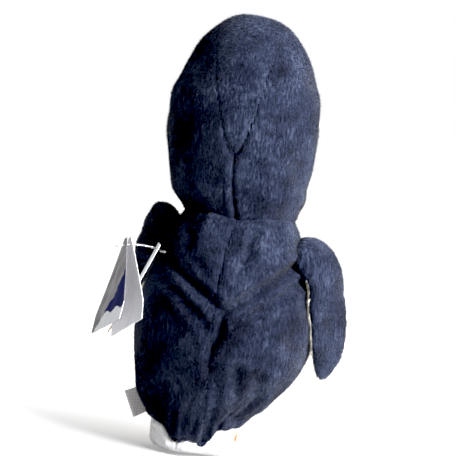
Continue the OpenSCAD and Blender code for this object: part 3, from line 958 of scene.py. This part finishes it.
def body_ring(z, turn, share, inset):
    """A ring of the body; share below 1 lies inside the outline, on the flat base."""
    depth = np.where(np.cos(turn) > 0, BODY_BACK, BODY_FRONT)
    angle = np.arctan2(-BODY_HALF * np.sin(turn), depth * np.cos(turn))
    z = level_round(z, angle)
    depth = depth + (0.97 * BODY_HALF - depth) * eased((z - BODY_MID) / (60 * MM))
    wide = share * body_share(np.array(z)) * (1 - 0.05 * bell(z, 101 * MM, 16 * MM))
    wide = wide + 0.05 * eased((z - 112 * MM) / (14 * MM))
    return np.stack([
        lean(z) - (BODY_HALF - inset) * wide * np.sin(turn),
        (depth - inset) * wide * np.cos(turn),
        z,
    ], axis=1)


def lean(z):
    """How far the lower body hangs to the left."""
    return BASE_LEAN * eased((BODY_MID - z) / BODY_MID)


def body_angle(points):
    """Angle round the body's own middle, from the back, positive to the left."""
    return np.arctan2(points[:, 0] - lean(points[:, 2]), points[:, 1])


def body_rings():
    """Rings from the flat base up to the collar, which is rolled inwards."""
    turn = full_turn(240)
    rings = [body_ring(0.15 * MM, turn, s, 0) for s in (0.25, 0.5, 0.7, 0.85, 0.95)]
    base = BASE_SEAM * np.array((0.05, 0.12, 0.22, 0.34, 0.46, 0.6, 0.74, 0.88))
    rings += [body_ring(z, turn, 1, 0) for z in [*base, *np.linspace(BASE_SEAM, COLLAR, 96)]]
    rolled = ((-0.6 * MM, 2 * MM), (0, 5 * MM), (1.5 * MM, 9 * MM))
    return rings + [body_ring(COLLAR - drop, turn, 1, inset) for drop, inset in rolled]


def body_relaxed(points, faces, distance, edge, centre):
    """The body's rings blown up as cloth, gathered at the base, the collar and the seams."""
    z = points[:, 2]
    ends = (z > COLLAR - 1.5 * MM) | (z < 0.3 * MM)
    pins = np.maximum((1 - 0.8 * centre) * bell(distance, 0, 1.6 * MM), ends)
    gathers = bell(z, edge, 16 * MM)
    collar = bell(z, COLLAR, 20 * MM)
    seams = (1 - 0.9 * centre) * bell(distance, 0, 8 * MM)
    grow = np.clip(np.maximum(seams, np.maximum(gathers, 0.5 * collar)), 0, 1)
    points = cloth_relaxed(points, faces, pins, grow, 3.5 * MM)
    points[:, 2] = np.maximum(points[:, 2], 0)
    return points


def fold_relief(points):
    """Heights of the folds and the drape over the back, in millimetres."""
    flat = points[:, [0, 2]] / MM
    valley = np.zeros(len(points))
    ridge = np.zeros(len(points))
    for line, depth, width in FOLDS:
        away = near_line(flat, line)
        valley = np.maximum(valley, depth * bell(away, 0, width))
        ridge = np.maximum(ridge, 0.45 * depth * bell(away, 1.9 * width, 0.8 * width))
    drape = 1.6 * bell(near_line(flat, DRAPE), 0, 9)
    return np.where(points[:, 1] > 0, ridge * (1 - valley / 3.4) - valley + drape, 0)


def body_relief(points, distance, edge, centre):
    """Heights of everything on the body's cloth, in millimetres: seams, pleats, creases and folds."""
    z = points[:, 2]
    angle = body_angle(points)
    shape = -1.2 * bell(distance, 0, 1.3 * MM) + 0.3 * bell(distance, 3 * MM, 1.6 * MM)
    shape *= 1 - 0.65 * centre
    pleats = ripple(angle, (13, 17, 23, 29)) * eased((z - edge) / (2 * MM))
    shape += 0.8 * pleats * bell(z, edge + 8 * MM, 16 * MM)
    shape += 0.3 * ripple(angle, (13, 19, 27)) * bell(z, COLLAR - 8 * MM, 13 * MM)
    shape += fold_relief(points)
    shape += 0.45 * Waves(26 * MM)(points)
    shape += 3.0 * bell(z, 5.5 * MM, 4 * MM) * (z < edge)
    return shape * eased(z / (1.2 * MM))


def body_surface():
    """The body's cloth: full and soft, with folds over the back and gathers at the base."""
    points, faces = ring_grid(body_rings())
    panels = body_panels(middles(points, faces))
    distance = body_seam_distance(points)
    edge = base_edge(body_angle(points))
    centre = bell(points[:, 0], back_seam_x(points[:, 2]), 6 * MM) * (points[:, 1] > 0)
    points = body_relaxed(points, faces, distance, edge, centre)
    shape = MM * body_relief(points, distance, edge, centre)
    points = points + shape[:, None] * normals_at(points, faces)
    across = points[:, 0] - lean(points[:, 2])
    for sign, tuck, level, spread, start in TUCKS:
        near = eased((sign * across - start) / (20 * MM))
        points[:, 0] -= sign * tuck * bell(points[:, 2], level, spread) * near
    return above_floor(points), faces, panels


def body_panels(middle):
    """Which faces belong to the left back, the right back, the belly and the base."""
    angle = body_angle(middle)
    base = middle[:, 2] < base_edge(angle)
    belly = ~base & (np.abs(angle) > side_seam_angle(middle[:, 2]))
    back = ~base & ~belly
    left = middle[:, 0] > back_seam_x(middle[:, 2])
    return back & left, back & ~left, belly, base


def short_at_base(points):
    """Share of the pile's full length: it is cut short along the seam of the base."""
    away = np.abs(points[:, 2] - base_edge(body_angle(points)))
    return 0.35 + 0.65 * eased(away / (5 * MM))


def make_body():
    """Two back panels, the belly and the base, cut from one body, with their pile."""
    points, faces, (back_left, back_right, belly, base) = body_surface()
    points = swayed(points)
    make_filling("body_fill", "torso", points, faces, 9 * MM)
    panels = (
        ("back_left", back_left, "navy"),
        ("back_right", back_right, "navy"),
        ("belly_panel", belly, "cream"),
        ("base_panel", base, "white"),
    )
    for node, chosen, colour in panels:
        for piece in add_plush("body", node, points, faces, chosen, colour, short_at_base):
            if node == "base_panel":
                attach(piece, "torso")
            else:
                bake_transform(piece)


# ---------- flippers and feet

def nearest_node(middle, one, other):
    """True where a face lies nearer to the first CAD node's surface than to the second's."""
    gaps = []
    for node in (one, other):
        mesh = frame["nodes"][node].data
        tree = BVHTree.FromPolygons(points_of(mesh).tolist(), faces_of(mesh))
        gaps.append(np.array([tree.find_nearest(Vector(p))[3] for p in middle]))
    return gaps[0] < gaps[1]


FLIPPERS = {
    # How far the root reaches into the body, how much slimmer the flipper is than its CAD skin,
    # how much closer it hangs, and how far from its joint it is dark all round.
    "left": {"tuck": 9 * MM, "trim": 0.4 * MM, "closer": 0.5 * MM, "dark": 42 * MM},
    "right": {"tuck": 4 * MM, "trim": 0.6 * MM, "closer": 2.2 * MM, "dark": 20 * MM},
}


def tucked(points, side, anchor):
    """The flipper pushed into the body at its root, and the rest drawn a little closer to it."""
    root = apart(points, anchor)
    moved = points.copy()
    inward = FLIPPERS[side]["tuck"] * eased((24 * MM - root) / (18 * MM))
    inward += FLIPPERS[side]["closer"] * eased((root - 16 * MM) / (20 * MM))
    moved[:, 0] -= np.sign(anchor[0]) * inward
    return moved


def make_flipper(side):
    """A flipper, dark outside and pale inside, with its root tucked into the body."""
    body = f"flipper_{side}"
    nodes = [f"{body}_outer", f"{body}_inner", f"{body}_fill"]
    points, faces = cad_skin(nodes, 1.5 * MM, 6)
    anchor = joint(f"{body}_lift")[0]
    middle = middles(points, faces)
    outer = nearest_node(middle, nodes[0], nodes[1])
    outer |= apart(middle, anchor) < FLIPPERS[side]["dark"]
    border = panel_border(points, faces, outer)
    pins = np.maximum(bell(border, 0, 1.5 * MM), bell(apart(points, anchor), 0, 8 * MM))
    points = cloth_relaxed(points, faces, pins, bell(border, 0, 6 * MM), 1.2 * MM)
    normals = normals_at(points, faces)
    shape = -0.7 * MM * bell(border, 0, 1.2 * MM) + 0.35 * MM * Waves(18 * MM)(points)
    shape += 0.15 * MM * Waves(6 * MM)(points) * bell(border, 3 * MM, 4 * MM)
    root = apart(points, anchor)
    shape += 4.0 * MM * bell(root, 0, 15 * MM)
    shape -= FLIPPERS[side]["trim"] * eased((root - 14 * MM) / (14 * MM))
    points = points + shape[:, None] * normals
    points = tucked(points, side, anchor)
    panels = ((nodes[0], outer, "navy"), (nodes[1], ~outer, "cream"))
    add_blended("flipper", panels, points, faces)


def panel_border(points, faces, first):
    """Distance of each point to the border between two groups of faces."""
    seen = np.zeros((len(points), 2), bool)
    for face, mine in zip(faces, first):
        seen[list(face), 0 if mine else 1] = True
    border = points[seen.all(axis=1)]
    return np.array([np.sqrt(np.min(((border - p) ** 2).sum(axis=1))) for p in points])


def make_foot(side):
    """A foot with two toe seams, whose heel reaches back into the body."""
    body = f"foot_{side}"
    nodes = [f"{body}_upper", f"{body}_sole", f"{body}_fill"]
    points, faces = cad_skin(nodes, 1.2 * MM, 5)
    anchor, axis = joint(f"{body}_lift")
    sole_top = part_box(nodes[1])[1].z
    upper = middles(points, faces)[:, 2] > sole_top + 0.2 * MM
    border = np.abs(points[:, 2] - sole_top)
    pins = np.maximum(bell(border, 0, 1 * MM), points[:, 2] < 1 * MM)
    points = cloth_relaxed(points, faces, pins, bell(border, 0, 4 * MM), 1.5 * MM)
    normals = normals_at(points, faces)
    forward = unit(np.cross(axis, [0, 0, 1.0]))
    if forward[1] > 0:
        forward = -forward
    across = np.array([-forward[1], forward[0], 0])
    local = points - anchor
    out = local @ forward
    sideways = local @ across
    shape = -0.6 * MM * bell(border, 0, 0.9 * MM)
    for offset in (-4.6 * MM, 4.6 * MM):
        toes = bell(sideways - 0.12 * offset / MM * out * 0.2, offset, 0.9 * MM)
        shape -= 1.5 * MM * toes * eased((out - 14 * MM) / (8 * MM)) * (points[:, 2] > sole_top)
    points = points + shape[:, None] * normals
    points -= (9 * MM * eased((7 * MM - out) / (9 * MM)))[:, None] * forward
    points = above_floor(points)
    panels = ((nodes[0], upper, "orange"), (nodes[1], ~upper, "orange"))
    add_blended("foot", panels, points, faces)


# ---------- beak and eyes

def make_beak():
    """Upper and lower felt, which meet along the mouth."""
    nodes = ["beak_upper", "beak_lower", "beak_fill"]
    points, faces = cad_skin(nodes, 0.7 * MM, 6)
    middle = middles(points, faces)
    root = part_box("beak_upper")[0].z
    reach = -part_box("beak_upper")[0].y - HEAD_DEPTH
    along = np.clip((-middle[:, 1] - HEAD_DEPTH) / reach, 0, 1)
    mouth = root + 5 * MM - 5 * MM * along ** 2
    upper = middle[:, 2] > mouth
    border = panel_border(points, faces, upper)
    points = points + (-0.5 * MM * bell(border, 0, 0.6 * MM))[:, None] * normals_at(points, faces)
    for node, chosen in (("beak_upper", upper), ("beak_lower", ~upper)):
        cloth = add_panel(node, *part_of(points, faces, chosen), materials["beak"], 0.5 * MM, 0.8)
        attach(cloth, "head")


def lathe(name, profile, columns, material):
    """A turned solid about Z from (radius, height) pairs that start and end on the axis."""
    turn = full_turn(columns)
    rings = [np.stack([r * np.cos(turn), r * np.sin(turn), np.full(columns, z)], axis=1)
             for r, z in profile]
    points, faces = ring_grid(rings)
    return object_of(name, mesh_of(name, points, faces), material)


def make_eye(side):
    """A glossy domed safety eye with a flat rim and a ridged stem."""
    dome = np.mean([np.array(c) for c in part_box(f"eye_{side}")], axis=0)
    washer = np.mean([np.array(c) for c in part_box(f"eye_washer_{side}")], axis=0)
    outward = unit(np.array([dome[0], dome[1], 0]) - np.array([washer[0], washer[1], 0]))
    radius = 4.3 * MM
    profile = [(0.02 * MM, -9 * MM), (1.3 * MM, -8.6 * MM)]
    for k in range(6):
        z = -8 * MM + k * 1.1 * MM
        profile += [(1.5 * MM, z), (1.2 * MM, z + 0.55 * MM)]
    profile += [(1.4 * MM, -0.4 * MM), (radius * 0.9, 0), (radius, 0.4 * MM)]
    profile += [(radius * math.cos(a), 0.6 * MM + 3.2 * MM * math.sin(a))
                for a in np.linspace(0.05, 1.52, 12)]
    eye = lathe(f"eye_{side}_button", profile, 40, materials["eye"])
    place = washer + 3.4 * MM * outward
    turn = Vector(outward).to_track_quat("Z", "Y")
    eye.matrix_world = Matrix.Translation(Vector(place)) @ turn.to_matrix().to_4x4()
    eye.data.transform(eye.matrix_world)
    eye.matrix_world = Matrix.Identity(4)
    stand_in(eye, f"eye_{side}", "head")


# ---------- insides

def make_stuffing(node, body):
    """Loose filling: the CAD solid, drawn in and made lumpy."""
    points, faces = cad_skin([node], 1 * MM, 4)
    normals = normals_at(points, faces)
    lumps = 0.25 * MM * Waves(5 * MM)(points) - 0.25 * MM
    points = points + (lumps - 0.3 * MM)[:, None] * normals
    add_filling(node, body, points, faces)


def make_flipper_filling(side):
    """The flipper's filling: its CAD solid, drawn in towards its middle and tucked in like the skin."""
    node = f"flipper_{side}_fill"
    points, faces = cad_skin([node], 1.2 * MM, 4)
    middle = points.mean(axis=0)
    points = middle + 0.6 * (points - middle)
    points = tucked(points, side, joint(f"flipper_{side}_lift")[0])
    add_filling(node, f"flipper_{side}", points, faces)


def make_filling(node, body, points, faces, inset):
    """Stuffing just inside a finished skin, between the levels of its CAD node."""
    low, high = (c.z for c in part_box(node))
    inside = points - (inset + 0.3 * MM * Waves(5 * MM)(points))[:, None] * normals_at(points, faces)
    inside[:, 2] = np.clip(inside[:, 2], low, high)
    add_filling(node, body, inside, faces)


def make_neck_wad():
    """The wad at the neck, narrowed so that the swayed collar covers it."""
    points, faces = cad_skin(["neck_wad"], 1.5 * MM, 4)
    points = swayed(points * [0.8, 0.8, 1.0])
    add_filling("neck_wad", "neck", points, faces)


def make_insides():
    """What the cloth hides: fillings, the neck wad, the pellets and their bag, the washers."""
    make_neck_wad()
    make_stuffing("beak_fill", "head")
    for side in SIDES:
        make_flipper_filling(side)
        make_stuffing(f"foot_{side}_fill", f"foot_{side}")
    for node, material in (("pellet_bag", "bag"), ("pellets", "pellet"),
                           ("eye_washer_left", "washer"), ("eye_washer_right", "washer")):
        repaint(node, material)


# ---------- tags and label

def flat_axes(node):
    """A flat CAD node's points, and its directions along, across and off it: along is down, off is back."""
    points = points_of(frame["nodes"][node].data)
    long, _, normal = np.linalg.svd(points - points.mean(axis=0), full_matrices=False)[2]
    long = long * -np.sign(long[2])
    normal = normal * np.sign(normal[1])
    return points, long, np.cross(normal, long), normal


CARD_CURL = 1 * MM
TAPER = 0.8


def make_card(node, body, paint, colours, slot, shoulder):
    """A thin printed card on its CAD node's plane; paint gives each face's colour from its place."""
    points, long, short, normal = flat_axes(node)
    along, across, off = points @ long, points @ short, points @ normal
    length = np.ptp(along)
    half = np.ptp(across) / 2
    rows, columns = 90, 46
    u = np.repeat(np.linspace(0, 1, rows), columns)
    v = np.tile(np.linspace(-1, 1, columns), rows)
    wide = half * np.clip(0.08 + 0.92 * u / shoulder, 0, 1) if shoulder else np.full(len(u), half)
    bend = CARD_CURL * (u ** 2 + 0.35 * v * u) + 0.12 * MM * np.sin(9 * v + 5 * u) * u
    grid = (
        (along.min() + u * length)[:, None] * long
        + (np.mean([across.min(), across.max()]) + v * wide)[:, None] * short
        + (off.mean() + bend)[:, None] * normal
    )
    faces = grid_faces(rows, columns)
    if (normals_at(grid, faces) @ normal).mean() < 0:
        faces = [tuple(reversed(f)) for f in faces]
    solid, solid_faces = shell_of(grid, faces, 0.35 * MM)
    made = object_of(node + "_print", mesh_of(node, solid, solid_faces, False),
                     *[materials[c] for c in colours])
    place_u = np.array([u[list(f)].mean() for f in faces])
    place_v = np.array([v[list(f)].mean() for f in faces])
    front = paint(place_u, place_v)
    made.data.polygons.foreach_set(
        "material_index", np.concatenate([front, np.zeros(len(solid_faces) - len(front))]).astype(int))
    stand_in(made, node, body)


def ragged(u):
    """The uneven edge of the blue field."""
    return 0.05 * np.sin(31 * u) + 0.03 * np.sin(83 * u + 1)


def cover_print(u, v):
    """Silver, with a blue field that widens downwards and a white band under it."""
    inner = v > 1.0 - 2.9 * (u - 0.36) + ragged(u)
    band = u > 0.84 + 0.02 * np.sin(9 * v)
    return np.where(inner & band, 2, np.where(inner, 1, 0))


def page_print(u, v):
    """Plain."""
    return np.zeros(len(u), int)


def ticket_print(u, v):
    """White above, tan below."""
    return (u > 0.45).astype(int)


def make_label():
    """The care label: one ribbon folded over on itself and sewn into the side seam by both ends."""
    points, wide, out, normal = flat_axes("care_label")
    root = joint("label_flap")[0]
    if (points.mean(axis=0) - root) @ out < 0:
        out = -out
    rise, reach, depth = (points @ a for a in (wide, out, normal))
    half = np.ptp(rise) / 2
    tail = 3 * MM
    length = np.ptp(reach) + tail
    gap = 0.9 * MM
    rows, columns = 30, 61
    t = np.repeat(np.linspace(-1, 1, rows), columns)
    s = np.tile(np.linspace(-1, 1, columns), rows)
    back = np.abs(s)
    loop = np.sqrt(1 - (1 - np.minimum(1, back / 0.15)) ** 2) * (1 - 0.8 * back)
    lift = gap * np.sign(s) * loop * (1 + 0.5 * t)
    curve = 0.9 * MM * (1 - back) * t
    ribbon = (
        (rise.min() + half * (1 + t))[:, None] * wide
        + (reach.min() - tail + length * (1 - back))[:, None] * out
        + (depth.mean() + lift + curve)[:, None] * normal
    )
    faces = grid_faces(rows, columns)
    label = object_of("care_label_ribbon", mesh_of("care_label", ribbon, faces), materials["ribbon"])
    stand_in(label, "care_label", "label")


def make_cards():
    """The hang tag's cards, the care label and the clear fastener."""
    cards = (
        ("tag_cover", "tag_front", cover_print, ["silver", "blue", "page"], "silver_card", TAPER),
        ("tag_page", "hang_tag", page_print, ["page"], "white_card", TAPER),
        ("tag_ticket", "hang_tag", ticket_print, ["page", "tan"], "tan_card", 0),
    )
    for card in cards:
        make_card(*card)
    make_label()
    repaint("tag_fastener", "nylon")


# ---------- the assembly

make_camera()
make_studio()
make_head()
make_body()
for side in SIDES:
    make_flipper(side)
    make_foot(side)
    make_eye(side)
make_beak()
make_insides()
make_cards()
